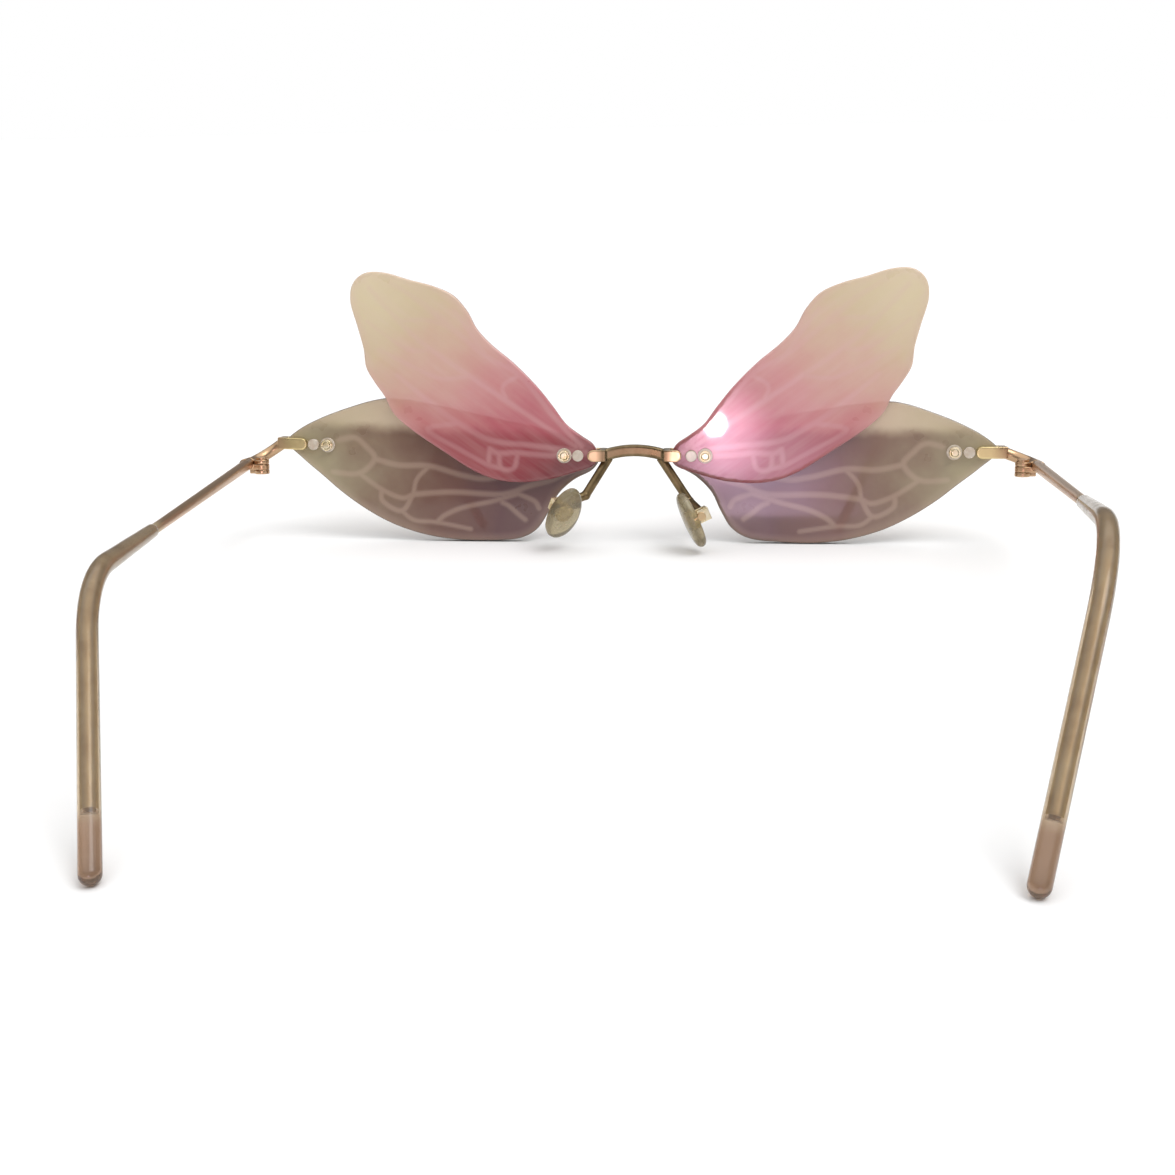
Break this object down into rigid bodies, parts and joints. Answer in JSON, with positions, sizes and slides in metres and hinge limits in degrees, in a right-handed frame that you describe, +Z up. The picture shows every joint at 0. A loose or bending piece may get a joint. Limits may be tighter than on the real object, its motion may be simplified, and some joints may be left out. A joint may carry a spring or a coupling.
{
  "type": "fairy wing glasses",
  "caption": "Rimless costume glasses with smoky wing-shaped lenses, pink upper wings, rocking nose pads and folding temples with clear ear sleeves.",
  "frame": {"origin": "on the surface it stands on, under the middle of the whole pair", "axes": "+X towards the wearer's left, +Y from the lenses back to the ears, +Z up"},
  "size_m": [0.1482, 0.1396, 0.0508],
  "materials": {
    "lens_tint": "smoky graded tint with milky printed veins",
    "wing_tint": "pink to pale yellow graded tint with milky printed veins",
    "clear_plastic": "clear, glossy",
    "nose_pad": "translucent, slightly yellowed",
    "sleeve": "clear brown, glossy",
    "gold": "polished champagne gold plating"
  },
  "bodies": {
    "front": {"lens_left": "lens_tint", "lens_right": "lens_tint", "wing_left": "wing_tint", "wing_right": "wing_tint", "wing_spacer_left": "clear_plastic", "wing_spacer_right": "clear_plastic", "bridge": "gold", "bridge_screw_left": "gold", "bridge_screw_right": "gold", "bridge_washer_left": "clear_plastic", "bridge_washer_right": "clear_plastic", "bridge_nut_left": "gold", "bridge_nut_right": "gold", "bridge_peg_cap_left": "clear_plastic", "bridge_peg_cap_right": "clear_plastic", "pad_arm_left": "gold", "pad_arm_right": "gold", "pad_box_left": "gold", "pad_box_right": "gold", "pad_screw_left": "gold", "pad_screw_right": "gold", "endpiece_left": "gold", "endpiece_right": "gold", "end_screw_left": "gold", "end_screw_right": "gold", "end_washer_left": "clear_plastic", "end_washer_right": "clear_plastic", "end_nut_left": "gold", "end_nut_right": "gold", "end_peg_cap_left": "clear_plastic", "end_peg_cap_right": "clear_plastic", "hinge_screw_left": "gold", "hinge_screw_right": "gold"},
    "temple_left": {"temple_left": "gold", "sleeve_left": "sleeve"},
    "temple_right": {"temple_right": "gold", "sleeve_right": "sleeve"},
    "nose_pad_left": {"pad_insert_left": "gold", "nose_pad_left": "nose_pad"},
    "nose_pad_right": {"pad_insert_right": "gold", "nose_pad_right": "nose_pad"}
  },
  "joints": [
    {"name": "temple_left_fold", "type": "hinge", "parent": "front", "child": "temple_left", "pos_m": [0.0705, -0.06067, 0.01635], "axis": [0, -0.1281, 0.9918], "range_deg": [0, 79]},
    {"name": "temple_right_fold", "type": "hinge", "parent": "front", "child": "temple_right", "pos_m": [-0.0705, -0.06067, 0.01635], "axis": [0, 0.1281, -0.9918], "range_deg": [0, 71]},
    {"name": "pad_left_rock", "type": "hinge", "parent": "front", "child": "nose_pad_left", "pos_m": [0.0138, -0.05823, 0.0084], "axis": [-0.7193, -0.6889, -0.089], "range_deg": [-8, 8]},
    {"name": "pad_right_rock", "type": "hinge", "parent": "front", "child": "nose_pad_right", "pos_m": [-0.0124, -0.05805, 0.00701], "axis": [0.2419, -0.9623, -0.1243], "range_deg": [-8, 8]}
  ]
}
